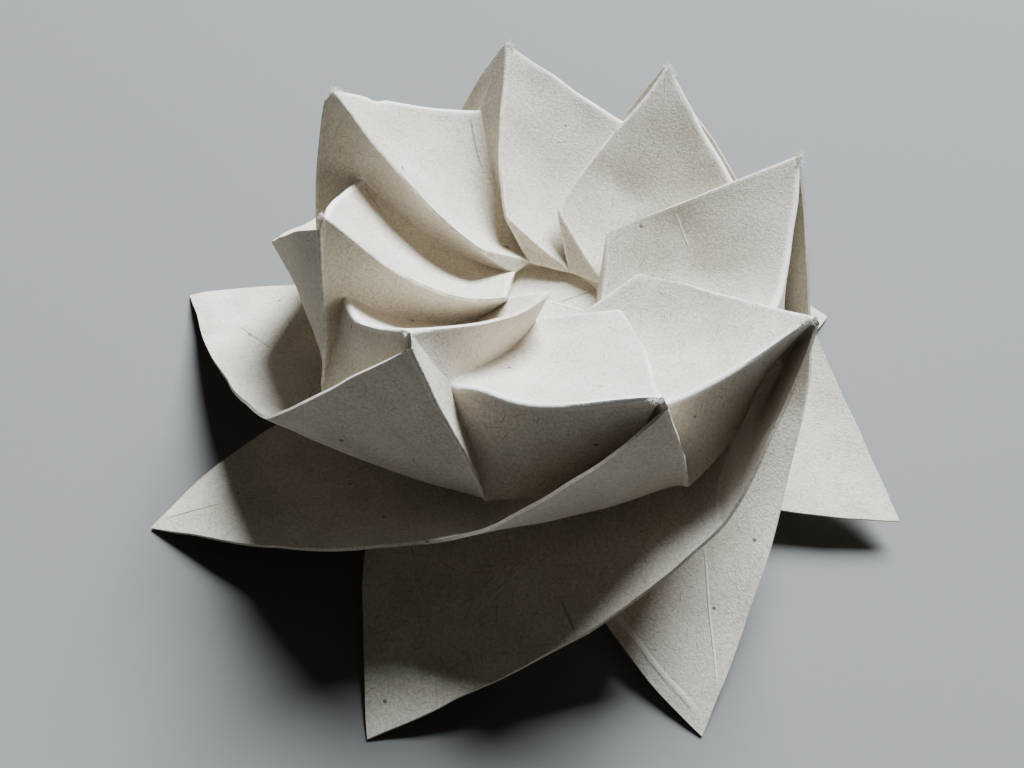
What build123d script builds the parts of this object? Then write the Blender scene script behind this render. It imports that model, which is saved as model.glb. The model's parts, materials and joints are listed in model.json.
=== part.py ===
from build123d import *
import math
import os

# Folded paper lotus: one sheet of thick recycled paper, folded into eight swirling
# petals over eight pointed leaves. Millimetres, +Z up, standing on its leaf tips.

# The sheet
PAPER = 0.3  # thickness of the paper
PETALS = 8  # petals round the axis, with as many leaves below them
FIRST_TURN = 202.1  # direction of the first petal's tip, in degrees from +X

# Corners of one petal: reach from the axis, turn from the petal's own direction, height
TIP = (23.1, 0.0, 30.9)  # petal tip, where the rim and the ridge meet
RIM_END = (19.8, -42.4, 24.6)  # clockwise end of the rim, against the neighbour's wall
RIDGE_END = (7.0, 25.0, 22.4)  # inner end of the ridge, beside the opening
VALLEY_END = (4.4, -37.0, 18.6)  # inner end of the valley, on the lip of the opening
FLOOR_CORNER = (5.2, -37.0, 17.2)  # corner of the octagon in the middle, under the lip
WALL_TOP = (23.5, 1.4, 29.9)  # top of the outer wall, just under the tip
WALL_FOOT = (23.5, 16.0, 15.9)  # foot of the fold between side wall and outer wall
WALL_HEEL = (21.5, 17.0, 13.5)  # inner end of the crease between outer wall and leaf
WALL_TOE = (27.7, -27.2, 16.6)  # outer end of that crease, on the paper's edge
LEAF_TIP = (40.0, -79.6, 0.3)  # leaf tip, on the table
LEAF_ROOT = (18.0, -98.0, 4.6)  # inner end of the leaf's clockwise edge
LINING_FOOT = (21.2, 5.0, 17.8)  # free corner of the lining inside the pocket

# How far each line bows off straight at its two thirds: outward, counter-clockwise, up
RIM_BOW = ((0.3, -0.3, -0.5), (2.0, 0.1, -1.2))
RIDGE_BOW = ((-0.1, 0.2, -0.7), (0.8, 1.2, -1.0))
VALLEY_BOW = ((0.0, 0.0, -1.4), (0.0, 0.6, -1.8))
WALL_EDGE_BOW = ((0.8, 0.2, 0.3), (0.8, 0.2, 0.0))
LEAF_EDGE_BOW = ((2.6, 0.7, -1.2), (2.0, 0.6, -1.0))
LEAF_BACK_BOW = ((-2.9, -0.5, 0.0), (-2.9, -0.5, -0.6))
CORNER_BOW = ((0.1, 0.9, -0.4), (-0.3, 0.8, -0.8))
CREASE_BOW = ((-1.8, 0.0, -4.2), (0.0, 0.0, -1.2))
LINING_SIDE_BOW = ((-0.2, -0.8, 0.0), (-0.2, -0.8, 0.0))
LINING_FOOT_BOW = ((1.2, 0.0, 0.4), (1.2, 0.0, 0.2))
STRAIGHT = ((0.0, 0.0, 0.0), (0.0, 0.0, 0.0))

PETAL_HOLLOW = 1.3  # how far the middle of a petal dips below its edges
LEAF_HOLLOW = 0.8  # how far the middle of a leaf lifts above its edges
FOLD_LIMIT = 1.7  # longest corner at a sharp fold, in half thicknesses
FLOOR_STEP = (-1.7, 0.0, 1.0)  # how the octagon's corners shift, in half thicknesses

# Folded by hand: how far the corners of each petal stray from the pattern, counting
# petals counter-clockwise. Outward, counter-clockwise and up, as the petal sees it.
EVEN = (0.0, 0.0, 0.0)
TIP_STRAY = (
    (-1.6, 0.2, 0.0), (-0.2, -1.6, 0.8), (0.6, 0.2, -0.3), (0.6, -0.6, -0.8),
    (-0.4, 1.0, 0.8), (-0.3, 0.9, 0.0), (-0.4, -0.6, -0.4), (1.3, 1.0, -0.1),
)
RIM_STRAY = (
    (1.1, 0.8, -1.2), (1.1, 0.9, -1.4), EVEN, EVEN,
    (1.2, 0.7, 1.2), EVEN, EVEN, (1.3, 0.8, -0.2),
)
RIDGE_STRAY = (
    (-0.6, 0.9, -0.2), (-1.2, -0.9, 1.4), (0.8, 1.4, 0.1), (1.0, 0.3, 0.0),
    EVEN, EVEN, EVEN, EVEN,
)
VALLEY_STRAY = (
    (-0.7, -0.3, 0.0), EVEN, EVEN, EVEN,
    (0.7, -0.3, 0.0), (0.4, -0.7, 0.0), (-1.0, -0.1, -0.4), (0.2, 0.3, 0.0),
)
TOE_STRAY = (
    EVEN, (1.3, -0.7, -0.4), (-0.5, 0.8, 0.5), (0.2, -0.8, -0.6),
    (-1.5, 0.6, -0.7), EVEN, EVEN, EVEN,
)
LEAF_STRAY = (
    EVEN, (0.6, 0.1, 0.0), (0.7, -0.1, 0.0), (-0.5, -0.3, 0.0),
    (-1.7, 0.6, 0.0), (-0.1, 0.3, 2.6), EVEN, EVEN,
)
ROOT_STRAY = (EVEN, EVEN, EVEN, (-3.7, -1.6, 0.0), EVEN, EVEN, EVEN, EVEN)

# How far single lines stray from their bow
RIDGE_SAG = ((0.0, 1.2, -1.4), EVEN, EVEN, EVEN, EVEN, EVEN, EVEN, EVEN)
VALLEY_SAG = ((0.0, 0.0, -1.0), (0.0, 1.0, -2.2), EVEN, EVEN, EVEN, EVEN, EVEN, EVEN)
BACK_SAG = (EVEN, EVEN, EVEN, (1.8, 0.3, 0.0), (1.2, 0.2, 0.0), (1.0, 0.2, 0.0), EVEN, EVEN)

STEP = 360 / PETALS


def direction(petal):
    return math.radians(FIRST_TURN + STEP * (petal % PETALS))


def shifted(petal, out, around, up):
    """A shift given outward, counter-clockwise and up, as one petal sees it."""
    a = direction(petal)
    x = out * math.cos(a) - around * math.sin(a)
    y = out * math.sin(a) + around * math.cos(a)
    return Vector(x, y, up)


def corner(petal, place, strays=(EVEN,)):
    """A corner of one petal, from its reach, turn and height and the petal's own stray."""
    reach, turn, height = place
    a = direction(petal) + math.radians(turn)
    stray = strays[petal % PETALS % len(strays)]
    return Vector(reach * math.cos(a), reach * math.sin(a), height) + shifted(petal, *stray)


def line(petal, start, end, bow, sags=(EVEN,)):
    """Four control points of a gently bowed line, with the petal's own stray."""
    sag = shifted(petal, *sags[petal % PETALS % len(sags)])
    first = start + (end - start) * (1 / 3) + shifted(petal, *bow[0]) + sag
    second = start + (end - start) * (2 / 3) + shifted(petal, *bow[1]) + sag
    return [start, first, second, end]


def panel(top, bottom, left, right, lift=0.0):
    """Control net of a panel between four lines. Top and bottom run from left to right."""
    net = []
    for i in range(4):
        u = i / 3
        row = []
        for j in range(4):
            v = j / 3
            across = top[j] * (1 - u) + bottom[j] * u
            along = left[i] * (1 - v) + right[i] * v
            ends_top = top[0] * (1 - v) + top[3] * v
            ends_bottom = bottom[0] * (1 - v) + bottom[3] * v
            point = across + along - (ends_top * (1 - u) + ends_bottom * u)
            if 0 < i < 3 and 0 < j < 3:
                point += Vector(0, 0, lift)
            row.append(point)
        net.append(row)
    return net


def key(point):
    return (round(point.X, 5), round(point.Y, 5), round(point.Z, 5))


panels = []
gables = []  # corners of the three-cornered ends that turn down to the lip
hems = []  # corners of the pieces that turn back under the lip, to the octagon
floor_corners = []
short_edges = []
straight_edges = []
for k in range(PETALS):
    ahead = k + 1  # the next petal counter-clockwise
    behind = k - 1

    tip = corner(k, TIP, TIP_STRAY)
    wall_top = corner(k, WALL_TOP, TIP_STRAY)
    rim_end = corner(k, RIM_END, RIM_STRAY)
    rim_end_ahead = corner(ahead, RIM_END, RIM_STRAY)
    ridge_end = corner(k, RIDGE_END, RIDGE_STRAY)
    valley_end = corner(k, VALLEY_END, VALLEY_STRAY)
    valley_end_ahead = corner(ahead, VALLEY_END, VALLEY_STRAY)
    floor_corner = corner(k, FLOOR_CORNER)
    floor_corner_ahead = corner(ahead, FLOOR_CORNER)
    wall_foot = corner(k, WALL_FOOT)
    wall_foot_behind = corner(behind, WALL_FOOT)
    wall_heel = corner(k, WALL_HEEL)
    wall_toe = corner(k, WALL_TOE, TOE_STRAY)
    leaf_tip = corner(k, LEAF_TIP, LEAF_STRAY)
    leaf_root = corner(k, LEAF_ROOT, ROOT_STRAY)
    lining_foot = corner(k, LINING_FOOT)
    floor_corners.append(floor_corner)

    # The folds and edges of this petal
    rim = line(k, tip, rim_end, RIM_BOW)
    ridge = line(k, tip, ridge_end, RIDGE_BOW, RIDGE_SAG)
    valley = line(k, rim_end, valley_end, VALLEY_BOW, VALLEY_SAG)
    valley_ahead = line(ahead, rim_end_ahead, valley_end_ahead, VALLEY_BOW, VALLEY_SAG)
    iris = line(k, ridge_end, valley_end, STRAIGHT)
    tuck = line(k, ridge_end, valley_end_ahead, STRAIGHT)
    brace = line(k, tip, rim_end_ahead, STRAIGHT)
    gutter = line(k, rim_end, wall_foot_behind, STRAIGHT)
    gutter_ahead = line(k, wall_foot, rim_end_ahead, STRAIGHT)
    side = line(k, wall_top, wall_foot, CORNER_BOW)
    wall_edge = line(k, wall_top, wall_toe, WALL_EDGE_BOW)
    crease = line(k, wall_toe, wall_heel, CREASE_BOW)
    leaf_edge = line(k, wall_toe, leaf_tip, LEAF_EDGE_BOW)
    leaf_back = line(k, leaf_tip, leaf_root, LEAF_BACK_BOW, BACK_SAG)
    leaf_inner = line(k, wall_heel, leaf_root, STRAIGHT)
    lining_side = line(k, tip, lining_foot, LINING_SIDE_BOW)
    lining_bottom = line(k, lining_foot, wall_foot_behind, LINING_FOOT_BOW)
    notch = line(k, wall_top, tip, STRAIGHT)
    heel_edge = line(k, wall_foot, wall_heel, STRAIGHT)

    short_edges += [notch, heel_edge]
    straight_edges += [notch, heel_edge, iris, tuck]

    # The panels between them, all with the same side of the paper up: petal, side wall
    # above and below, lining of the pocket, outer wall and leaf
    panels.append(panel(rim, iris, ridge, valley, -PETAL_HOLLOW))
    panels.append(panel(ridge, valley_ahead, brace, tuck))
    panels.append(panel(notch, gutter_ahead, side, brace))
    panels.append(panel(lining_side, gutter, rim, lining_bottom))
    panels.append(panel(side, crease, wall_edge, heel_edge))
    panels.append(panel(crease, leaf_back, leaf_edge, leaf_inner, LEAF_HOLLOW))
    gables.append((ridge_end, valley_end_ahead, valley_end))
    hems.append((valley_end, valley_end_ahead, floor_corner))
    hems.append((valley_end_ahead, floor_corner_ahead, floor_corner))

# Give the paper its thickness: each control point moves half of it to either side,
# along a direction that suits all the panels that meet there
facing = {}
for net in panels:
    for i in range(4):
        for j in range(4):
            down = net[min(i + 1, 3)][j] - net[max(i - 1, 0)][j]
            over = net[i][min(j + 1, 3)] - net[i][max(j - 1, 0)]
            normal = down.cross(over)
            if normal.length > 1e-6:
                facing.setdefault(key(net[i][j]), []).append(normal.normalized())

for flat in gables + hems:
    normal = (flat[1] - flat[0]).cross(flat[2] - flat[0]).normalized()
    for point in flat:
        facing.setdefault(key(point), []).append(normal)

for edge in short_edges:
    joint = facing[key(edge[0])] + facing[key(edge[3])]
    facing[key(edge[0])] = joint
    facing[key(edge[3])] = joint


def agreed(normals):
    """The direction that all the panels at a point face, as nearly as they can."""
    way = sum(normals[1:], normals[0]).normalized()
    for turn in range(300):
        least = min(normals, key=way.dot)
        way = (way + least * (1 / (turn + 4))).normalized()
    return way


shift = {}
for place, normals in facing.items():
    way = agreed(normals)
    lean = sum(abs(way.dot(n)) for n in normals) / len(normals)
    shift[place] = way * (PAPER / 2 * min(FOLD_LIMIT, 1 / max(lean, 0.1)))
for k in range(PETALS):
    shift[key(floor_corners[k])] = shifted(k, *FLOOR_STEP) * (PAPER / 2)
for edge in straight_edges:
    first = shift[key(edge[0])]
    last = shift[key(edge[3])]
    shift[key(edge[1])] = first * (2 / 3) + last * (1 / 3)
    shift[key(edge[2])] = first * (1 / 3) + last * (2 / 3)


def moved(points, sign):
    """Points of the sheet's middle, moved to its upper (1) or lower (-1) side."""
    return [p + shift[key(p)] * sign for p in points]


faces = []
edges = {}
for net in panels:
    for sign in (1, -1):
        faces.append(Face.make_bezier_surface([moved(row, sign) for row in net]))
    columns = list(zip(*net))
    for edge in (net[0], net[3], columns[0], columns[3]):
        ends = frozenset((key(edge[0]), key(edge[3])))
        edges.setdefault(ends, []).append(edge)

# The flat panels: the octagon in the middle, the hems round it and the gables above them
for flat in [floor_corners] + gables + hems:
    for sign in (1, -1):
        faces.append(Face(Wire.make_polygon(moved(flat, sign), close=True)))
    for i in range(len(flat)):
        ends = frozenset((key(flat[i - 1]), key(flat[i])))
        edges.setdefault(ends, []).append(flat)

# Close the cut edges of the paper, those with a panel on one side only
for users in edges.values():
    if len(users) == 1:
        faces.append(Face.make_bezier_surface([moved(users[0], 1), moved(users[0], -1)]))

# The origin is on the table, under the middle of the flower's box
sheet = Solid(Shell(faces))
box = sheet.bounding_box()
sheet = Pos(-box.center().X, -box.center().Y, -box.min.Z) * sheet
sheet.label = "paper_lotus"

os.makedirs("parts", exist_ok=True)
export_step(sheet, "parts/paper_lotus.step")
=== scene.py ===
"""Paper lotus: the looks of a flower folded from one sheet of thick recycled paper."""

import json
import math
import random

import bpy
import numpy as np
from mathutils import Matrix, Vector, kdtree, noise


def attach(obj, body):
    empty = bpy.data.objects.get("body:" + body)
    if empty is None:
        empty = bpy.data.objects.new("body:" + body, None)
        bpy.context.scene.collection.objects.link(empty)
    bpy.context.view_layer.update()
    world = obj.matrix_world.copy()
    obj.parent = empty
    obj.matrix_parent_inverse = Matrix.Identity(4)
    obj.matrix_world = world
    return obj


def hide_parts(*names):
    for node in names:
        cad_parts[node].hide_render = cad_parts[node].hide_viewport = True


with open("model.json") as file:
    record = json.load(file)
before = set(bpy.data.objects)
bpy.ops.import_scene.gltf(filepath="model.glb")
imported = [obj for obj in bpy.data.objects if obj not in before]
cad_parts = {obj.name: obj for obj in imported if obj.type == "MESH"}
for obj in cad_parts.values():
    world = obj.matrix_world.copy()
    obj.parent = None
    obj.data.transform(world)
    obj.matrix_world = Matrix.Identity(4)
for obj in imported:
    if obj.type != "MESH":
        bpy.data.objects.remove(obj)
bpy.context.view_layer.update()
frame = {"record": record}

bl_info = {
    "name": "Paper Lotus",
    "version": (1, 0, 0),
    "blender": (4, 5, 0),
    "location": "3D View > Sidebar > Paper Lotus",
    "description": "Folds a lotus from one sheet of paper and sets it on a plain stage",
    "category": "Add Mesh",
}

MM = 0.001  # the folding pattern below is in millimetres and degrees

# The folding pattern, as in the part's source
PAPER = 0.3
PETALS = 8
FIRST_TURN = 202.1
STEP = 360 / PETALS

# Corners of one petal: reach from the axis, turn from the petal's own direction, height
TIP = (23.1, 0.0, 30.9)
RIM_END = (19.8, -42.4, 24.6)
RIDGE_END = (7.0, 25.0, 22.4)
VALLEY_END = (4.4, -37.0, 18.6)
FLOOR_CORNER = (5.2, -37.0, 17.2)
WALL_TOP = (23.5, 1.4, 29.9)
WALL_FOOT = (23.5, 16.0, 15.9)
WALL_HEEL = (21.5, 17.0, 13.5)
WALL_TOE = (27.7, -27.2, 16.6)
LEAF_TIP = (40.0, -79.6, 0.3)
LEAF_ROOT = (18.0, -98.0, 4.6)
LINING_FOOT = (21.2, 5.0, 17.8)

# How far each line bows off straight at its two thirds: outward, counter-clockwise, up
RIM_BOW = ((0.3, -0.3, -0.5), (2.0, 0.1, -1.2))
RIDGE_BOW = ((-0.1, 0.2, -0.7), (0.8, 1.2, -1.0))
VALLEY_BOW = ((0.0, 0.0, -1.4), (0.0, 0.6, -1.8))
WALL_EDGE_BOW = ((0.8, 0.2, 0.3), (0.8, 0.2, 0.0))
LEAF_EDGE_BOW = ((2.6, 0.7, -1.2), (2.0, 0.6, -1.0))
LEAF_BACK_BOW = ((-2.9, -0.5, 0.0), (-2.9, -0.5, -0.6))
CORNER_BOW = ((0.1, 0.9, -0.4), (-0.3, 0.8, -0.8))
CREASE_BOW = ((-1.8, 0.0, -4.2), (0.0, 0.0, -1.2))
LINING_SIDE_BOW = ((-0.2, -0.8, 0.0), (-0.2, -0.8, 0.0))
LINING_FOOT_BOW = ((1.2, 0.0, 0.4), (1.2, 0.0, 0.2))
STRAIGHT = ((0.0, 0.0, 0.0), (0.0, 0.0, 0.0))

PETAL_HOLLOW = 1.3
LEAF_HOLLOW = 0.8

# Folded by hand: how far the corners of each petal stray, counting counter-clockwise
EVEN = (0.0, 0.0, 0.0)
TIP_STRAY = (
    (-1.6, 0.2, 0.0), (-0.2, -1.6, 0.8), (0.6, 0.2, -0.3), (0.6, -0.6, -0.8),
    (-0.4, 1.0, 0.8), (-0.3, 0.9, 0.0), (-0.4, -0.6, -0.4), (1.3, 1.0, -0.1),
)
RIM_STRAY = (
    (1.1, 0.8, -1.2), (1.1, 0.9, -1.4), EVEN, EVEN,
    (1.2, 0.7, 1.2), EVEN, EVEN, (1.3, 0.8, -0.2),
)
RIDGE_STRAY = (
    (-0.6, 0.9, -0.2), (-1.2, -0.9, 1.4), (0.8, 1.4, 0.1), (1.0, 0.3, 0.0),
    EVEN, EVEN, EVEN, EVEN,
)
VALLEY_STRAY = (
    (-0.7, -0.3, 0.0), EVEN, EVEN, EVEN,
    (0.7, -0.3, 0.0), (0.4, -0.7, 0.0), (-1.0, -0.1, -0.4), (0.2, 0.3, 0.0),
)
TOE_STRAY = (
    EVEN, (1.3, -0.7, -0.4), (-0.5, 0.8, 0.5), (0.2, -0.8, -0.6),
    (-1.5, 0.6, -0.7), EVEN, EVEN, EVEN,
)
LEAF_STRAY = (
    EVEN, (0.6, 0.1, 0.0), (0.7, -0.1, 0.0), (-0.5, -0.3, 0.0),
    (-1.7, 0.6, 0.0), (-0.1, 0.3, 2.6), EVEN, EVEN,
)
ROOT_STRAY = (EVEN, EVEN, EVEN, (-3.7, -1.6, 0.0), EVEN, EVEN, EVEN, EVEN)
RIDGE_SAG = ((0.0, 1.2, -1.4), EVEN, EVEN, EVEN, EVEN, EVEN, EVEN, EVEN)
VALLEY_SAG = ((0.0, 0.0, -1.0), (0.0, 1.0, -2.2), EVEN, EVEN, EVEN, EVEN, EVEN, EVEN)
BACK_SAG = (EVEN, EVEN, EVEN, (1.8, 0.3, 0.0), (1.2, 0.2, 0.0), (1.0, 0.2, 0.0), EVEN, EVEN)

# Looks only: how the sheet is divided, rounded and handled
GRADING = 0.75  # how strongly the mesh crowds towards the folds
SOFT_REACH = {"tip": 1.5, "rim": 1.2, "fold": 0.5}  # how far a rounded fold reaches to either side
SOFT_PULL = 1.3  # how strongly a point on a fold is drawn to its neighbours, before the limit
PULL_LIMIT = 0.6
SHEET_GAP = 60.0  # distance between panels on the texture's sheet, so that no two look alike
FAR = 50.0  # distance from a pressed line where a panel has none
RINGS = (0.0, 0.12, 0.4, 0.75, 1.0)  # the octagon's rings, as shares of the way to its centre
HELD_SHARE = 0.2  # share of a panel beside its folds where a bend dies away
BEND_FADE = 2.5  # how quickly a bend dies away past the ends of its line
SLOW_WAVE = 8.0
QUICK_WAVE = 3.1
QUICK_SHARE = 0.3  # depth of the quick waves, as a share of the slow ones
SHARP_EDGE = 50.0
SEED = 8
# Tones of the pressed lines: painted highlight lines, painted shade lines and painted highlight bands
TONES = ("pale_line", "dark_line", "pale_band")

# Pressed lines: start and end as shares down and along the panel, how far the line stands
# above the panel, how far the bend reaches, and how it shows: pale lines and bands are painted
# highlights, dark lines painted shade
PRESSED = {
    ("petal", 0): [((0.03, 0.96), (0.18, 0.87), 0.05, 1.0, "dark_line")],
    ("petal", 4): [
        ((0.63, 0.06), (0.45, 0.62), -0.45, 5.0, None),
        ((0.63, 0.06), (0.53, 0.35), 0.00, 1.0, "pale_line"),
    ],
    ("petal", 5): [((0.64, 0.04), (0.53, 0.44), -0.50, 5.0, None)],
    ("petal", 7): [((0.03, 0.93), (0.36, 0.91), 0.10, 1.5, "dark_line")],
    ("leaf", 1): [
        ((0.76, 0.15), (0.61, 0.25), 0.10, 2.0, "dark_line"),
        ((0.90, 0.06), (0.50, 0.04), 0.30, 2.5, None),
    ],
    ("leaf", 2): [((0.99, 0.03), (0.87, 0.15), 0.15, 2.0, "dark_line")],
    ("leaf", 3): [
        ((0.52, 0.46), (0.73, 0.27), 0.06, 1.2, "pale_line"),
        ((0.49, 0.19), (0.47, 0.01), -0.60, 2.0, "dark_line"),
        ((0.90, 0.20), (0.78, 0.02), 0.40, 2.0, None),
    ],
    ("leaf", 4): [
        ((0.62, 0.30), (0.90, 0.01), 0.12, 1.5, "pale_line"),
        ((0.97, 0.03), (0.97, 0.60), 0.15, 0.8, "pale_band"),
    ],
}

# Two wrinkles in the octagon, from above: a dark one painted as shade, a pale one painted as highlight
OCTAGON_WRINKLES = {"dark_line": ((4.1, 2.2), (0.9, -0.2)), "pale_line": ((4.2, -0.7), (-0.7, -0.2))}

# Small dents in the sheet: petal, place as a corner of it, how far they move it, and their reach
DENTS = (
    (2, (20.1, -34.6, 25.0), (0.0, 0.0, 0.6), 2.0),
    (2, (19.9, -40.7, 24.7), (0.0, 0.0, -0.3), 0.8),
    (7, (22.6, -8.1, 28.4), (0.0, 0.0, -0.4), 0.9),
)

# How worn each petal's tip is, counting counter-clockwise
TIP_WEAR = (0.7, 0.5, 0.8, 1.5, 1.1, 1.4, 0.9, 1.5)

# Loose fibres at a tip that is worn by 1
FRAY_SPREAD = 0.4
FRAY_LENGTH = (0.15, 0.5)
FRAY_WIDTH = 0.022
FRAY_CURL = 0.2

# Fibres in the paper: size of the pattern's cells, width, length, share of the cells, shift
FINE_FIBRES = (0.34, 0.042, 0.42, 0.6, 3.0)
LONG_FIBRES = (1.2, 0.05, 1.5, 0.45, 17.0)
PALE_FIBRES = (0.4, 0.05, 0.6, 0.6, 41.0)

# Dark specks in the paper: specks to a millimetre, largest size, share of the places that have one
SPECK_SCALE = 0.13
SPECK_SIZE = 0.18
SPECK_SHARE = 0.45

# The camera, fitted to the photograph: aim and distance in millimetres from the flower's axis
AIM = (-2.04, 3.24, 0.0)
DISTANCE = 125.84
ELEVATION = 49.5
ROLL = 9.4
LENS = 40.4

# The key light, as the photograph's shadows place it: turn, height, distance and width
KEY_TURN = 78.0
KEY_HEIGHT = 49.5
KEY_DISTANCE = 1.4
KEY_WIDTH = 0.78
KEY_COLOUR = (0.80, 0.91, 1.0)


def direction(petal):
    return math.radians(FIRST_TURN + STEP * (petal % PETALS))


def shifted(petal, move):
    """A move given outward, counter-clockwise and up, as one petal sees it."""
    a = direction(petal)
    out, around, up = move
    x = out * math.cos(a) - around * math.sin(a)
    y = out * math.sin(a) + around * math.cos(a)
    return np.array((x, y, up))


def corner(petal, place, strays=(EVEN,)):
    """A corner of one petal, from its reach, turn and height and the petal's own stray."""
    reach, turn, height = place
    a = direction(petal) + math.radians(turn)
    stray = strays[petal % PETALS % len(strays)]
    return np.array((reach * math.cos(a), reach * math.sin(a), height)) + shifted(petal, stray)


def line(petal, start, end, bow=STRAIGHT, sags=(EVEN,)):
    """Four control points of a gently bowed line, with the petal's own stray."""
    sag = shifted(petal, sags[petal % PETALS % len(sags)])
    first = start + (end - start) / 3 + shifted(petal, bow[0]) + sag
    second = start + (end - start) * (2 / 3) + shifted(petal, bow[1]) + sag
    return np.array((start, first, second, end))


def panel(top, bottom, left, right, lift=0.0):
    """Control net of a panel between four lines. Top and bottom run from left to right."""
    net = np.zeros((4, 4, 3))
    for i in range(4):
        u = i / 3
        for j in range(4):
            v = j / 3
            across = top[j] * (1 - u) + bottom[j] * u
            along = left[i] * (1 - v) + right[i] * v
            ends_top = top[0] * (1 - v) + top[3] * v
            ends_bottom = bottom[0] * (1 - v) + bottom[3] * v
            net[i, j] = across + along - (ends_top * (1 - u) + ends_bottom * u)
    net[1:3, 1:3, 2] += lift
    return net


def fold_pattern():
    """The sheet's panels by name and petal, its fold lines, and the octagon's corners."""
    panels = []
    folds = {"tip": [], "rim": [], "fold": []}
    floor_corners = []
    for k in range(PETALS):
        tip = corner(k, TIP, TIP_STRAY)
        wall_top = corner(k, WALL_TOP, TIP_STRAY)
        rim_end = corner(k, RIM_END, RIM_STRAY)
        rim_end_ahead = corner(k + 1, RIM_END, RIM_STRAY)
        ridge_end = corner(k, RIDGE_END, RIDGE_STRAY)
        valley_end = corner(k, VALLEY_END, VALLEY_STRAY)
        valley_end_ahead = corner(k + 1, VALLEY_END, VALLEY_STRAY)
        floor_corner = corner(k, FLOOR_CORNER)
        floor_corner_ahead = corner(k + 1, FLOOR_CORNER)
        wall_foot = corner(k, WALL_FOOT)
        wall_foot_behind = corner(k - 1, WALL_FOOT)
        wall_heel = corner(k, WALL_HEEL)
        wall_toe = corner(k, WALL_TOE, TOE_STRAY)
        leaf_tip = corner(k, LEAF_TIP, LEAF_STRAY)
        leaf_root = corner(k, LEAF_ROOT, ROOT_STRAY)
        lining_foot = corner(k, LINING_FOOT)
        floor_corners.append(floor_corner)

        rim = line(k, tip, rim_end, RIM_BOW)
        ridge = line(k, tip, ridge_end, RIDGE_BOW, RIDGE_SAG)
        valley = line(k, rim_end, valley_end, VALLEY_BOW, VALLEY_SAG)
        valley_ahead = line(k + 1, rim_end_ahead, valley_end_ahead, VALLEY_BOW, VALLEY_SAG)
        iris = line(k, ridge_end, valley_end)
        tuck = line(k, ridge_end, valley_end_ahead)
        brace = line(k, tip, rim_end_ahead)
        gutter = line(k, rim_end, wall_foot_behind)
        gutter_ahead = line(k, wall_foot, rim_end_ahead)
        side = line(k, wall_top, wall_foot, CORNER_BOW)
        wall_edge = line(k, wall_top, wall_toe, WALL_EDGE_BOW)
        crease = line(k, wall_toe, wall_heel, CREASE_BOW)
        leaf_edge = line(k, wall_toe, leaf_tip, LEAF_EDGE_BOW)
        leaf_back = line(k, leaf_tip, leaf_root, LEAF_BACK_BOW, BACK_SAG)
        leaf_inner = line(k, wall_heel, leaf_root)
        lining_side = line(k, tip, lining_foot, LINING_SIDE_BOW)
        lining_bottom = line(k, lining_foot, wall_foot_behind, LINING_FOOT_BOW)
        notch = line(k, wall_top, tip)
        heel_edge = line(k, wall_foot, wall_heel)
        lip = line(k, valley_end_ahead, valley_end)
        floor_edge = line(k, floor_corner_ahead, floor_corner)
        hem_side = line(k, valley_end, floor_corner)
        hem_side_ahead = line(k, valley_end_ahead, floor_corner_ahead)
        point = np.array([valley_end] * 4)

        panels.append(("petal", k, panel(rim, iris, ridge, valley, -PETAL_HOLLOW)))
        panels.append(("upper wall", k, panel(ridge, valley_ahead, brace, tuck)))
        panels.append(("lower wall", k, panel(notch, gutter_ahead, side, brace)))
        panels.append(("lining", k, panel(lining_side, gutter, rim, lining_bottom)))
        panels.append(("outer wall", k, panel(side, crease, wall_edge, heel_edge)))
        panels.append(("leaf", k, panel(crease, leaf_back, leaf_edge, leaf_inner, LEAF_HOLLOW)))
        panels.append(("gable", k, panel(iris, lip, tuck, point)))
        panels.append(("hem", k, panel(lip, floor_edge, hem_side_ahead, hem_side)))
        folds["tip"].append(line(k, tip, tip))
        folds["rim"].append(rim)
        folds["fold"] += [ridge, valley, iris, tuck, gutter, side, crease, lip, floor_edge]
    return panels, folds, np.array(floor_corners)


def bernstein(t):
    return np.stack(((1 - t) ** 3, 3 * t * (1 - t) ** 2, 3 * t * t * (1 - t), t ** 3), axis=-1)


def graded(count):
    """Steps from 0 to 1 that crowd towards both ends."""
    even = np.linspace(0, 1, count + 1)
    return GRADING * (1 - np.cos(math.pi * even)) / 2 + (1 - GRADING) * even


def flattened(grid):
    """Places of a panel's points on the flat sheet, near enough for a texture."""
    middle = grid.mean(axis=(0, 1))
    along = (grid[:, -1] - grid[:, 0]).mean(axis=0)
    down = (grid[-1] - grid[0]).mean(axis=0)
    along = along / np.linalg.norm(along)
    down = down - along * down.dot(along)
    down = down / np.linalg.norm(down)
    return np.stack(((grid - middle) @ along, (grid - middle) @ down), axis=-1)


def at_shares(flat, steps, place):
    """The texture place at a pair of shares of a panel."""
    down, along = place
    column = np.array([[np.interp(along, steps, row[:, c]) for c in (0, 1)] for row in flat])
    return np.array([np.interp(down, steps, column[:, c]) for c in (0, 1)])


def free_share(name, steps):
    """How freely each point of a panel may move: not at all along the folds that it shares."""
    inside = np.clip(steps / HELD_SHARE, 0, 1)
    if name == "leaf":
        return np.outer(inside, np.ones_like(steps))
    return np.outer(inside * inside[::-1], inside * inside[::-1])


def bent(grid, mark, rise, reach, free):
    """A panel bent along a pressed line, which stands out by the rise."""
    near = np.clip(1 - np.abs(mark[..., 0]) / reach, 0, 1) ** 2
    beyond = np.maximum(0, np.abs(mark[..., 1] - 0.5) - 0.5)
    fade = np.clip(1 - BEND_FADE * beyond, 0, 1)
    ways = np.cross(np.gradient(grid, axis=0), np.gradient(grid, axis=1))
    ways = ways / np.maximum(np.linalg.norm(ways, axis=-1), 1e-9)[..., None]
    ways = ways * np.sign(ways[..., 2:])
    return grid + ways * (rise * near * fade * free)[..., None]


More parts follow.
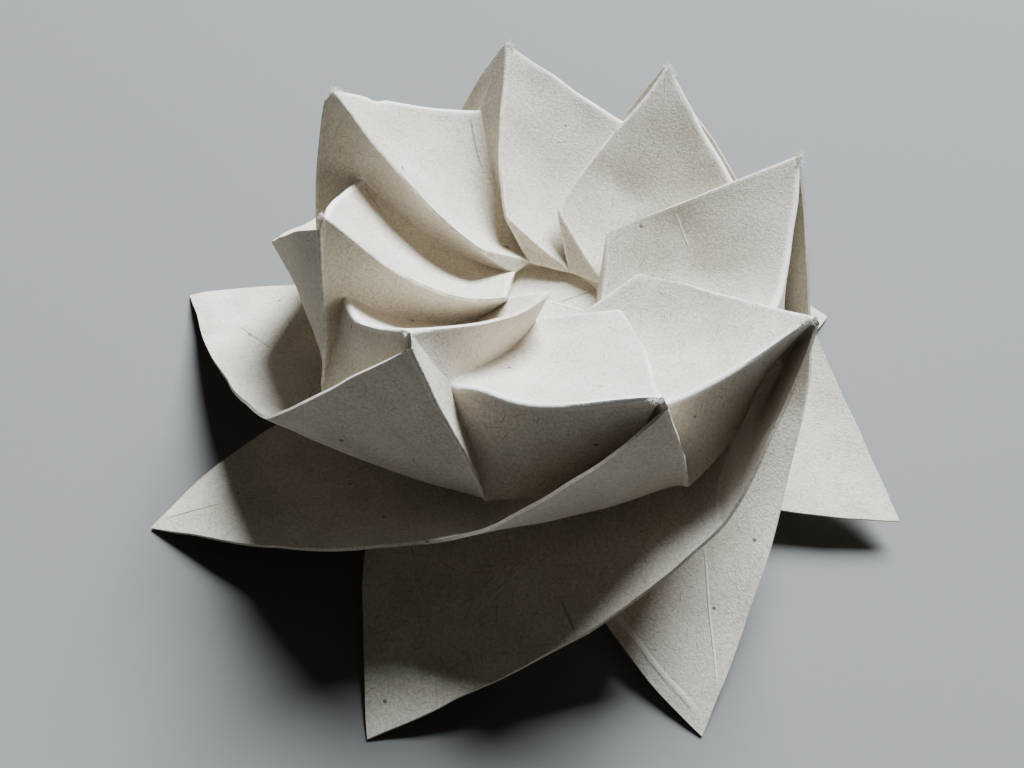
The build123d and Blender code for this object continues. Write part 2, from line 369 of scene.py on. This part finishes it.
class Sheet:
    """The middle surface of the folded paper, as points, faces and texture places."""

    def __init__(self, divisions):
        self.index = {}
        self.points = []
        self.faces = []
        self.places = []
        self.marks = {tone: [] for tone in TONES}
        panels, self.folds, floor_corners = fold_pattern()
        steps = graded(divisions)
        basis = bernstein(steps)
        for number, (name, petal, net) in enumerate(panels):
            grid = np.einsum("ui,vj,ijk->uvk", basis, basis, net)
            flat = flattened(grid) + (SHEET_GAP * number, 0)
            marks = {tone: np.full(flat.shape, FAR) for tone in TONES}
            for first, last, rise, reach, tone in PRESSED.get((name, petal), ()):
                mark = self.pressed(flat, at_shares(flat, steps, first), at_shares(flat, steps, last))
                grid = bent(grid, mark, rise, reach, free_share(name, steps))
                if tone:
                    marks[tone] = mark
            self.add_grid(grid, flat, marks)
        self.add_floor(floor_corners, basis)
        self.points = np.array(self.points)

    def vertex(self, point):
        key = tuple(np.round(point, 4))
        if key not in self.index:
            self.index[key] = len(self.points)
            self.points.append(point)
        return self.index[key]

    def add_face(self, corners, places, marks):
        """Adds a face, leaving out corners that fall together."""
        kept = [n for n in range(len(corners)) if corners[n] != corners[n - 1]]
        if len(kept) > 2:
            self.faces.append([corners[n] for n in kept])
            self.places.append([places[n] for n in kept])
            for tone in TONES:
                self.marks[tone].append([marks[tone][n] for n in kept])

    def add_grid(self, grid, flat, marks):
        rows, columns = grid.shape[:2]
        ids = [[self.vertex(grid[i, j]) for j in range(columns)] for i in range(rows)]
        for i in range(rows - 1):
            for j in range(columns - 1):
                around = ((i, j), (i + 1, j), (i + 1, j + 1), (i, j + 1))
                corners = [ids[a][b] for a, b in around]
                around_marks = {tone: [marks[tone][at] for at in around] for tone in TONES}
                self.add_face(corners, [flat[at] for at in around], around_marks)

    def add_floor(self, corners, basis):
        """The octagon in the middle, as rings that shrink to its centre."""
        rim = []
        for k in range(PETALS):
            edge = line(k, corners[k - 1], corners[k])
            rim += list((basis @ edge)[:-1])
        rim = np.array(rim + rim[:1])
        centre = corners.mean(axis=0)
        rings = np.array([rim + (centre - rim) * share for share in RINGS])
        flat = rings[:, :, :2] - (SHEET_GAP, 0)
        marks = {tone: np.full(flat.shape, FAR) for tone in TONES}
        for tone, ends in OCTAGON_WRINKLES.items():
            start, end = np.array(ends) - (SHEET_GAP, 0)
            marks[tone] = self.pressed(flat, start, end)
        self.add_grid(rings, flat, marks)

    def pressed(self, flat, start, end):
        """Distance from a pressed line, and the share along it, at each point of a panel."""
        length = np.linalg.norm(end - start)
        way = (end - start) / length
        along = (flat - start) @ way / length
        across = (flat - start) @ np.array((-way[1], way[0]))
        return np.stack((across, along), axis=-1)

    def edges(self):
        """Each edge once, with how many faces use it, and the directed edges of the cut border."""
        uses = {}
        for face in self.faces:
            for n in range(len(face)):
                ends = (face[n - 1], face[n])
                uses.setdefault(tuple(sorted(ends)), []).append(ends)
        border = [way[0] for way in uses.values() if len(way) == 1]
        return list(uses), border

    def normals(self):
        total = np.zeros_like(self.points)
        for face in self.faces:
            corners = self.points[face]
            turn = np.cross(corners[1] - corners[0], corners[2] - corners[0])
            if len(face) == 4:
                turn = turn + np.cross(corners[2] - corners[0], corners[3] - corners[0])
            total[face] += turn
        return total / np.maximum(np.linalg.norm(total, axis=1), 1e-12)[:, None]

    def distance(self, lines, limit):
        """How far each point is from the nearest of some lines."""
        t = np.linspace(0, 1, 121)
        marks = np.concatenate([bernstein(t) @ points for points in lines])
        tree = kdtree.KDTree(len(marks))
        for n, mark in enumerate(marks):
            tree.insert(mark, n)
        tree.balance()
        return np.array([min(tree.find(point)[2], limit) for point in self.points])

    def soften(self, rounds, weight):
        """Rounds the folds by drawing points near them to the middle of their neighbours."""
        edges, border = self.edges()
        edges = np.array(edges)
        border = np.array([sorted(ends) for ends in border])
        on_border = np.zeros(len(self.points), bool)
        on_border[border.ravel()] = True
        inner = edges[~(on_border[edges[:, 0]] & on_border[edges[:, 1]])]
        for _ in range(rounds):
            total = np.zeros_like(self.points)
            count = np.zeros(len(self.points))
            for a, b in ((0, 1), (1, 0)):
                free = inner[~on_border[inner[:, a]]]
                np.add.at(total, free[:, a], self.points[free[:, b]])
                np.add.at(count, free[:, a], 1)
                np.add.at(total, border[:, a], self.points[border[:, b]])
                np.add.at(count, border[:, a], 1)
            mean = total / np.maximum(count, 1)[:, None]
            pull = np.where(count > 0, weight, 0)[:, None]
            self.points = self.points + (mean - self.points) * pull

    def dent(self, dents):
        """Moves the sheet a little where it has been knocked. Layers that lie close move together."""
        for petal, place, move, reach in dents:
            gap = np.linalg.norm(self.points - corner(petal, place), axis=1)
            self.points = self.points + np.outer(np.exp(-((gap / reach) ** 2)), shifted(petal, move))

    def crumple(self, depth):
        """Slow waves and small dents, as handled paper has. Layers that lie close move together."""
        noise.seed_set(SEED)
        waves = []
        for point in self.points:
            slow = noise.noise_vector(Vector(point) / SLOW_WAVE)
            quick = noise.noise_vector(Vector(point) / QUICK_WAVE + Vector((7.0, 3.0, 5.0)))
            waves.append(slow + QUICK_SHARE * quick)
        self.points = self.points + np.array(waves) * depth


def thick_mesh(sheet, thickness, origin):
    """Both sides of the sheet and its cut edges, as one closed mesh in metres."""
    normals = sheet.normals()
    upper = sheet.points + normals * (thickness / 2)
    lower = sheet.points - normals * (thickness / 2)
    count = len(sheet.points)
    border = sheet.edges()[1]
    faces = [list(face) for face in sheet.faces]
    faces += [[v + count for v in reversed(face)] for face in sheet.faces]
    places = [list(place) for place in sheet.places]
    places += [[p + (0, SHEET_GAP) for p in reversed(place)] for place in sheet.places]
    layers = {"sheet": places}
    for tone in TONES:
        layers[tone] = [list(mark) for mark in sheet.marks[tone]]
        layers[tone] += [list(reversed(mark)) for mark in sheet.marks[tone]]
    place_of = {}
    for face, place in zip(sheet.faces, sheet.places):
        place_of.update(zip(face, place))
    for a, b in border:
        faces.append([a, a + count, b + count, b])
        across = np.array((thickness, thickness))
        places.append([place_of[a], place_of[a] + across, place_of[b] + across, place_of[b]])
        for tone in TONES:
            layers[tone].append([np.array((FAR, FAR))] * 4)

    mesh = bpy.data.meshes.new("folded_sheet")
    points = np.concatenate((upper, lower)) * MM + origin
    mesh.from_pydata(points.tolist(), [], faces)
    for name, values in layers.items():
        layer = mesh.uv_layers.new(name=name)
        flat = np.array([value for face in values for value in face], dtype=np.float32)
        layer.data.foreach_set("uv", flat.ravel())
    mesh.polygons.foreach_set("use_smooth", [True] * len(faces))
    mesh.set_sharp_from_angle(angle=math.radians(SHARP_EDGE))
    return mesh


def add_distances(mesh, name, values):
    """Keeps a distance in millimetres for both sides of the sheet."""
    attribute = mesh.attributes.new(name=name, type="FLOAT", domain="POINT")
    attribute.data.foreach_set("value", np.concatenate((values, values)).astype(np.float32))


class Nodes:
    """Adds linked nodes to a material's tree."""

    def __init__(self, material):
        material.use_nodes = True
        self.tree = material.node_tree
        self.tree.nodes.clear()

    def add(self, kind, inputs, **settings):
        node = self.tree.nodes.new(kind)
        for name, value in settings.items():
            setattr(node, name, value)
        for name, value in inputs.items():
            if isinstance(value, bpy.types.NodeSocket):
                self.tree.links.new(value, node.inputs[name])
            else:
                node.inputs[name].default_value = value
        return node

    def maths(self, operation, *values):
        return self.add("ShaderNodeMath", dict(enumerate(values)), operation=operation).outputs[0]

    def vectors(self, operation, *values):
        return self.add("ShaderNodeVectorMath", dict(enumerate(values)), operation=operation).outputs[0]

    def weighted(self, *pairs):
        """The sum of some values, each times its weight."""
        parts = [self.maths("MULTIPLY", value, weight) for value, weight in pairs]
        total = parts[0]
        for part in parts[1:]:
            total = self.maths("ADD", total, part)
        return total

    def ramp(self, value, start, end, low=0.0, high=1.0):
        """Smooth step from low at start to high at end."""
        inputs = {"Value": value, "From Min": start, "From Max": end, "To Min": low, "To Max": high}
        return self.add("ShaderNodeMapRange", inputs, interpolation_type="SMOOTHSTEP").outputs[0]

    def noise(self, place, scale, detail, roughness=0.5):
        inputs = {"Vector": place, "Scale": scale, "Detail": detail, "Roughness": roughness}
        return self.add("ShaderNodeTexNoise", inputs).outputs["Fac"]

    def blend(self, factor, first, second, blend_type="MIX"):
        node = self.add("ShaderNodeMix", {"Factor": factor}, data_type="RGBA", blend_type=blend_type)
        for socket, value in ((node.inputs[6], first), (node.inputs[7], second)):
            if isinstance(value, bpy.types.NodeSocket):
                self.tree.links.new(value, socket)
            else:
                socket.default_value = value
        return node.outputs[2]

    def surface(self, inputs):
        """The shader, linked to the material's output."""
        shader = self.add("ShaderNodeBsdfPrincipled", inputs)
        self.add("ShaderNodeOutputMaterial", {"Surface": shader.outputs[0]})


def fibre_layer(nodes, place, cell, width, length, share, seed):
    """Short fibres lying every way in the sheet: one to a cell, in a share of the cells."""
    place = nodes.vectors("ADD", place, (seed, seed * 1.7, 0.0))
    pattern = {"Vector": place, "Scale": 1 / cell}
    cells = nodes.add("ShaderNodeTexVoronoi", pattern, voronoi_dimensions="2D")
    random_values = nodes.add("ShaderNodeSeparateColor", {"Color": cells.outputs["Color"]}).outputs
    offset = nodes.vectors("SUBTRACT", place, cells.outputs["Position"])
    angle = nodes.maths("MULTIPLY", random_values[0], 2 * math.pi)
    spin = {"Vector": offset, "Angle": angle}
    turned = nodes.add("ShaderNodeVectorRotate", spin, rotation_type="Z_AXIS").outputs[0]
    parts = nodes.add("ShaderNodeSeparateXYZ", {"Vector": turned}).outputs
    bow = nodes.maths("MULTIPLY", nodes.maths("SUBTRACT", random_values[2], 0.5), 0.35)
    bend = nodes.maths("MULTIPLY", nodes.maths("MULTIPLY", parts[0], parts[0]), bow)
    across = nodes.maths("ABSOLUTE", nodes.maths("SUBTRACT", parts[1], bend))
    thin = nodes.ramp(across, width * 0.3, width, 1.0, 0.0)
    size = nodes.maths("MULTIPLY_ADD", random_values[2], 0.8, 0.4)
    along = nodes.maths("DIVIDE", nodes.maths("ABSOLUTE", parts[0]), size)
    short = nodes.ramp(along, length * 0.3, length * 0.5, 1.0, 0.0)
    chosen = nodes.maths("LESS_THAN", random_values[1], share)
    return nodes.maths("MULTIPLY", nodes.maths("MULTIPLY", thin, short), chosen)


def pressed_line(nodes, colour, layer, width, tint, strength):
    """A fine pressed line over the colour so far, painted pale as a highlight or dark as shade by its
    tint, and where it lies.
    """
    mark = nodes.add("ShaderNodeUVMap", {}, uv_map=layer).outputs[0]
    mark = nodes.add("ShaderNodeSeparateXYZ", {"Vector": mark}).outputs
    from_middle = nodes.maths("ABSOLUTE", nodes.maths("SUBTRACT", mark[1], 0.5))
    thin = nodes.ramp(nodes.maths("ABSOLUTE", mark[0]), width * 0.2, width, 1.0, 0.0)
    shown = nodes.maths("MULTIPLY", thin, nodes.ramp(from_middle, 0.3, 0.55, 1.0, 0.0))
    return nodes.blend(nodes.maths("MULTIPLY", shown, strength), colour, (*tint, 1)), shown


def paper_material(look):
    """Recycled paper: mottled pulp, fibres, a few specks, worn folds, rims painted pale as wear and
    highlight, and pressed lines painted as highlight and shade.
    """
    material = bpy.data.materials.new("recycled_paper")
    nodes = Nodes(material)
    uv = nodes.add("ShaderNodeUVMap", {}, uv_map="sheet").outputs[0]
    sway = nodes.add("ShaderNodeTexNoise", {"Vector": uv, "Scale": 0.7, "Detail": 1.0}).outputs["Color"]
    sway = nodes.vectors("SCALE", nodes.vectors("SUBTRACT", sway, (0.5, 0.5, 0.5)))
    sway.node.inputs["Scale"].default_value = 0.25
    place = nodes.vectors("MULTIPLY", nodes.vectors("ADD", uv, sway), (1.0, 1.0, 0.0))

    pulp = nodes.noise(uv, 0.22, 4.0, 0.6)
    grain = nodes.noise(uv, 3.0, 3.0, 0.7)
    mottle = nodes.ramp(nodes.weighted((pulp, 0.35), (grain, 0.65)), 0.38, 0.62)
    colour = nodes.blend(mottle, (*look.shade_colour, 1), (*look.paper_colour, 1))

    fine = nodes.maths("MULTIPLY", fibre_layer(nodes, place, *FINE_FIBRES), 0.5)
    long = nodes.maths("MULTIPLY", fibre_layer(nodes, place, *LONG_FIBRES), 0.85)
    pale = fibre_layer(nodes, place, *PALE_FIBRES)
    colour = nodes.blend(nodes.maths("MULTIPLY", pale, 0.3), colour, (*look.wear_and_highlight_colour, 1))
    dark = nodes.maths("MAXIMUM", fine, long)
    amount = nodes.maths("MULTIPLY", dark, look.fibre_amount)
    colour = nodes.blend(amount, colour, (*look.fibre_colour, 1))

    pattern = {"Vector": place, "Scale": SPECK_SCALE}
    spots = nodes.add("ShaderNodeTexVoronoi", pattern, voronoi_dimensions="2D")
    spot_values = nodes.add("ShaderNodeSeparateColor", {"Color": spots.outputs["Color"]}).outputs
    spot_size = nodes.maths("MULTIPLY", spot_values[1], SPECK_SIZE)
    spot_gap = nodes.maths("DIVIDE", spots.outputs["Distance"], SPECK_SCALE)
    spot = nodes.ramp(nodes.maths("SUBTRACT", spot_gap, spot_size), 0.02, 0.1, 1.0, 0.0)
    spot = nodes.maths("MULTIPLY", spot, nodes.maths("LESS_THAN", spot_values[0], SPECK_SHARE))
    colour = nodes.blend(nodes.maths("MULTIPLY", spot, 0.8), colour, (*look.speck_and_shade_colour, 1))

    fold = nodes.add("ShaderNodeAttribute", {}, attribute_name="fold_gap").outputs["Fac"]
    rim = nodes.add("ShaderNodeAttribute", {}, attribute_name="rim_gap").outputs["Fac"]
    patchy = nodes.noise(uv, 1.4, 3.0, 0.6)
    at_fold = nodes.ramp(fold, 0.05, 0.35, 1.0, 0.0)
    worn_fold = nodes.maths("MULTIPLY", at_fold, nodes.ramp(patchy, 0.3, 0.7))
    # Rims and tips painted pale: rubbed paper, and a painted highlight along the rounded rim folds
    rim_wear_and_highlight = nodes.ramp(nodes.weighted((rim, 1.0), (patchy, 0.3)), 0.2, 0.75, 1.0, 0.0)
    worn = nodes.maths("MAXIMUM", nodes.maths("MULTIPLY", worn_fold, 0.8), rim_wear_and_highlight)
    colour = nodes.blend(worn, colour, (*look.wear_and_highlight_colour, 1))

    # Pressed lines: pale ones painted as highlights, dark ones painted as shade
    colour, pale_line = pressed_line(nodes, colour, "pale_line", 0.14, look.wear_and_highlight_colour, 0.7)
    colour, pale_band = pressed_line(nodes, colour, "pale_band", 0.40, look.wear_and_highlight_colour, 0.6)
    # Dark pressed lines: painted shade along creases and pinches, in the speck colour
    colour, dark_line = pressed_line(nodes, colour, "dark_line", 0.14, look.speck_and_shade_colour, 0.5)

    tooth = nodes.noise(uv, 5.0, 3.0, 0.6)
    fibres = nodes.maths("MAXIMUM", dark, pale)
    lines = nodes.weighted((pale_line, 1.0), (dark_line, -1.0), (pale_band, 1.0))
    height = nodes.weighted((tooth, 0.5), (grain, 0.9), (fibres, 0.2), (lines, 1.0))
    bump = nodes.add("ShaderNodeBump", {"Height": height, "Strength": 0.85, "Distance": 0.075 * MM})

    roughness = nodes.ramp(grain, 0.2, 0.8, 0.82, 0.97)
    nodes.surface({
        "Base Color": colour,
        "Roughness": roughness,
        "Normal": bump.outputs[0],
        "Specular IOR Level": 0.25,
        "Sheen Weight": 0.08,
        "Sheen Roughness": 0.6,
    })
    return material


def plain_material(name, colour, roughness):
    """A matte surface with a faint grain."""
    material = bpy.data.materials.new(name)
    nodes = Nodes(material)
    place = nodes.add("ShaderNodeTexCoord", {}).outputs["Object"]
    grain = nodes.noise(place, 900.0, 2.0)
    tint = nodes.blend(grain, (*(c * 0.97 for c in colour), 1), (*colour, 1))
    nodes.surface({"Base Color": tint, "Roughness": roughness, "Specular IOR Level": 0.2})
    return material


def flower_origin():
    """The flower's axis on the table, in metres, from the octagon's place in the frame."""
    mount = next(m for m in frame["record"]["mounts"] if m["name"] == "octagon_underside")
    x, y, z = mount["pos_m"]
    return np.array((x, y, z - (FLOOR_CORNER[2] - PAPER / 2) * MM))


def finished(name, mesh, material):
    """Links a piece of the flower and has it ride with the part."""
    piece = bpy.data.objects.new(name, mesh)
    bpy.context.scene.collection.objects.link(piece)
    mesh.materials.append(material)
    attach(piece, "root")
    return piece


class LotusShape(bpy.types.PropertyGroup):
    divisions: bpy.props.IntProperty(
        name="Divisions", description="Mesh steps along each side of a panel",
        default=24, min=8, max=26)
    fold_rounds: bpy.props.IntProperty(
        name="Fold softness", description="Rounds of smoothing at the folds", default=5, min=0, max=20)
    crumple: bpy.props.FloatProperty(
        name="Crumple", description="Depth of the slow waves in the paper",
        default=0.3 * MM, min=0.0, max=MM, unit="LENGTH", precision=5)
    frays: bpy.props.IntProperty(
        name="Frays", description="Loose fibres at a petal's tip", default=180, min=0, max=400)


class LotusLook(bpy.types.PropertyGroup):
    paper_colour: bpy.props.FloatVectorProperty(
        name="Paper", description="Colour of the paper", subtype="COLOR",
        default=(0.69, 0.61, 0.50), min=0, max=1)
    shade_colour: bpy.props.FloatVectorProperty(
        name="Pulp", description="Darker clouds in the paper", subtype="COLOR",
        default=(0.52, 0.445, 0.345), min=0, max=1)
    fibre_colour: bpy.props.FloatVectorProperty(
        name="Fibres", description="Colour of the dark fibres", subtype="COLOR",
        default=(0.25, 0.18, 0.115), min=0, max=1)
    # Colour of rubbed folds and pale fibres, also used for painted highlights on rims and pressed lines
    wear_and_highlight_colour: bpy.props.FloatVectorProperty(
        name="Worn folds", description="Colour of rubbed folds and pale fibres", subtype="COLOR",
        default=(0.82, 0.765, 0.675), min=0, max=1)
    # Colour of the dark specks, also used for the painted shade of dark pressed lines
    speck_and_shade_colour: bpy.props.FloatVectorProperty(
        name="Specks", description="Colour of the few dark specks", subtype="COLOR",
        default=(0.10, 0.07, 0.05), min=0, max=1)
    fibre_amount: bpy.props.FloatProperty(
        name="Fibre amount", description="How strongly the dark fibres show", default=0.7, min=0, max=1)


class LotusStage(bpy.types.PropertyGroup):
    floor_colour: bpy.props.FloatVectorProperty(
        name="Floor", description="Colour of the floor", subtype="COLOR",
        default=(0.17, 0.16, 0.15), min=0, max=1)
    floor_size: bpy.props.FloatProperty(
        name="Floor size", description="Width of the floor", default=3.0, min=0.5, unit="LENGTH")
    key_power: bpy.props.FloatProperty(
        name="Key light", description="Power of the window-like light behind",
        default=105.0, min=0, unit="POWER")
    room: bpy.props.FloatProperty(
        name="Room light", description="Strength of the light from all round", default=0.035, min=0)


class LOTUS_OT_fold_sheet(bpy.types.Operator):
    """Fold the flower from one sheet of paper"""

    bl_idname = "lotus.fold_sheet"
    bl_label = "Fold Sheet"

    def execute(self, context):
        shape = context.scene.lotus_shape
        sheet = Sheet(shape.divisions)
        gaps = {kind: sheet.distance(lines, FAR) for kind, lines in sheet.folds.items()}
        pull = np.max([SOFT_PULL * (1 - gaps[kind] / SOFT_REACH[kind]) for kind in gaps], axis=0)
        sheet.soften(shape.fold_rounds, np.clip(pull, 0, PULL_LIMIT))
        sheet.dent(DENTS)
        sheet.crumple(shape.crumple / MM)
        mesh = thick_mesh(sheet, PAPER, flower_origin())
        add_distances(mesh, "fold_gap", np.min(list(gaps.values()), axis=0))
        add_distances(mesh, "rim_gap", np.minimum(gaps["rim"], gaps["tip"]))
        piece = finished("folded_sheet", mesh, paper_material(context.scene.lotus_look))
        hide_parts("paper_lotus")
        return {"FINISHED"}


class LOTUS_OT_fray_tips(bpy.types.Operator):
    """Add the loose fibres at the worn tips of the petals"""

    bl_idname = "lotus.fray_tips"
    bl_label = "Fray Tips"

    def execute(self, context):
        chance = random.Random(SEED)
        origin = flower_origin()
        points = []
        faces = []
        for k in range(PETALS):
            tip = corner(k, TIP, TIP_STRAY)
            rim_way = corner(k, RIM_END, RIM_STRAY) - tip
            rim_way = rim_way / np.linalg.norm(rim_way)
            wear = TIP_WEAR[k]
            for _ in range(round(context.scene.lotus_shape.frays * wear)):
                along = abs(chance.gauss(0, FRAY_SPREAD * wear))
                root = tip + rim_way * along + (0, 0, chance.uniform(-0.4, -0.1))
                root = root + shifted(k, [chance.gauss(0, 0.1), chance.gauss(0, 0.12), 0])
                way = shifted(k, [chance.gauss(0.4, 0.6), chance.gauss(0, 0.7), chance.gauss(0.7, 0.4)])
                way = way / max(np.linalg.norm(way), 0.2)
                curl = shifted(k, [chance.gauss(0, 0.5), chance.gauss(0, 0.5), chance.gauss(-0.1, 0.4)])
                reach = chance.uniform(*FRAY_LENGTH) * wear
                self.add_fibre(points, faces, root, way * reach, curl * FRAY_CURL)
        mesh = bpy.data.meshes.new("tip_fibres")
        mesh.from_pydata((np.array(points) * MM + origin).tolist(), [], faces)
        mesh.polygons.foreach_set("use_smooth", [True] * len(faces))
        worn = plain_material("loose_fibres", context.scene.lotus_look.wear_and_highlight_colour, 0.9)
        finished("tip_fibres", mesh, worn)
        return {"FINISHED"}

    def add_fibre(self, points, faces, root, reach, curl):
        """A three-sided strand that bends once and ends in a point."""
        first = len(points)
        side = np.cross(reach, (0.3, 0.5, 0.8))
        side = side / max(np.linalg.norm(side), 1e-6)
        other = np.cross(reach, side)
        other = other / max(np.linalg.norm(other), 1e-6)
        for share in (0.0, 0.4, 0.75):
            middle = root + reach * share + curl * share * share
            for turn in range(3):
                a = 2 * math.pi * turn / 3
                out = side * math.cos(a) + other * math.sin(a)
                points.append(middle + out * FRAY_WIDTH * (1 - 0.6 * share))
        points.append(root + reach + curl)
        for ring in (0, 3):
            for turn in range(3):
                a, b = first + ring + turn, first + ring + (turn + 1) % 3
                faces.append((a, b, b + 3, a + 3))
        for turn in range(3):
            faces.append((first + 6 + turn, first + 6 + (turn + 1) % 3, first + 9))


class LOTUS_OT_set_stage(bpy.types.Operator):
    """Set the floor, the lights and the camera"""

    bl_idname = "lotus.set_stage"
    bl_label = "Set Stage"

    def execute(self, context):
        stage = context.scene.lotus_stage
        self.add_floor(context.scene, stage)
        self.add_key_light(context.scene, stage)
        self.add_room(context.scene, stage)
        self.add_camera(context.scene)
        return {"FINISHED"}

    def add_floor(self, scene, stage):
        half = stage.floor_size / 2
        mesh = bpy.data.meshes.new("floor")
        points = [(-half, -half, 0), (half, -half, 0), (half, half, 0), (-half, half, 0)]
        mesh.from_pydata(points, [], [(0, 1, 2, 3)])
        mesh.materials.append(plain_material("pale_floor", stage.floor_colour, 0.8))
        floor = bpy.data.objects.new("floor", mesh)
        scene.collection.objects.link(floor)

    def add_key_light(self, scene, stage):
        """One soft light from behind, as from a window."""
        turn = math.radians(KEY_TURN)
        height = math.radians(KEY_HEIGHT)
        across = math.cos(height)
        away = Vector((across * math.cos(turn), across * math.sin(turn), math.sin(height)))
        data = bpy.data.lights.new("key_light", "AREA")
        data.shape = "DISK"
        data.size = KEY_WIDTH
        data.energy = stage.key_power
        data.color = KEY_COLOUR
        light = bpy.data.objects.new("key_light", data)
        light.location = away * KEY_DISTANCE
        light.rotation_euler = away.to_track_quat("Z", "Y").to_euler()
        scene.collection.objects.link(light)

    def add_room(self, scene, stage):
        world = bpy.data.worlds.new("room")
        world.use_nodes = True
        background = world.node_tree.nodes["Background"]
        background.inputs["Color"].default_value = (1.0, 1.0, 1.0, 1.0)
        background.inputs["Strength"].default_value = stage.room
        scene.world = world

    def add_camera(self, scene):
        """The photograph's view: aimed at the table, tilted down and rolled a little."""
        tilt = math.radians(ELEVATION)
        roll = math.radians(ROLL)
        forward = Vector((0.0, math.cos(tilt), -math.sin(tilt)))
        right = Vector((1.0, 0.0, 0.0))
        up = right.cross(forward)
        across = right * math.cos(roll) + up * math.sin(roll)
        upright = up * math.cos(roll) - right * math.sin(roll)
        axis = flower_origin()
        aim = Vector(AIM) * MM + Vector((axis[0], axis[1], 0.0))
        place = aim - forward * DISTANCE * MM
        data = bpy.data.cameras.new("camera")
        data.sensor_width = 36.0
        data.lens = LENS
        data.clip_start = 0.005
        data.clip_end = 20.0
        camera = bpy.data.objects.new("camera", data)
        camera.matrix_world = Matrix((
            (across.x, upright.x, -forward.x, place.x),
            (across.y, upright.y, -forward.y, place.y),
            (across.z, upright.z, -forward.z, place.z),
            (0.0, 0.0, 0.0, 1.0),
        ))
        scene.collection.objects.link(camera)
        scene.camera = camera


class LOTUS_PT_sidebar(bpy.types.Panel):
    """Settings and steps of the paper lotus"""

    bl_label = "Paper Lotus"
    bl_idname = "LOTUS_PT_sidebar"
    bl_space_type = "VIEW_3D"
    bl_region_type = "UI"
    bl_category = "Paper Lotus"

    def draw(self, context):
        scene = context.scene
        for settings in (scene.lotus_shape, scene.lotus_look, scene.lotus_stage):
            box = self.layout.box()
            for name in settings.__annotations__:
                box.prop(settings, name)
        for operator in STEPS:
            self.layout.operator(operator.bl_idname)


SETTINGS = {"lotus_shape": LotusShape, "lotus_look": LotusLook, "lotus_stage": LotusStage}
STEPS = (LOTUS_OT_fold_sheet, LOTUS_OT_fray_tips, LOTUS_OT_set_stage)


def register():
    for name, group in SETTINGS.items():
        bpy.utils.register_class(group)
        setattr(bpy.types.Scene, name, bpy.props.PointerProperty(type=group))
    for operator in STEPS:
        bpy.utils.register_class(operator)
    bpy.utils.register_class(LOTUS_PT_sidebar)


def unregister():
    bpy.utils.unregister_class(LOTUS_PT_sidebar)
    for operator in reversed(STEPS):
        bpy.utils.unregister_class(operator)
    for name, group in SETTINGS.items():
        delattr(bpy.types.Scene, name)
        bpy.utils.unregister_class(group)


def main():
    register()
    bpy.ops.lotus.fold_sheet()
    bpy.ops.lotus.fray_tips()
    bpy.ops.lotus.set_stage()


if __name__ == "__main__":
    main()
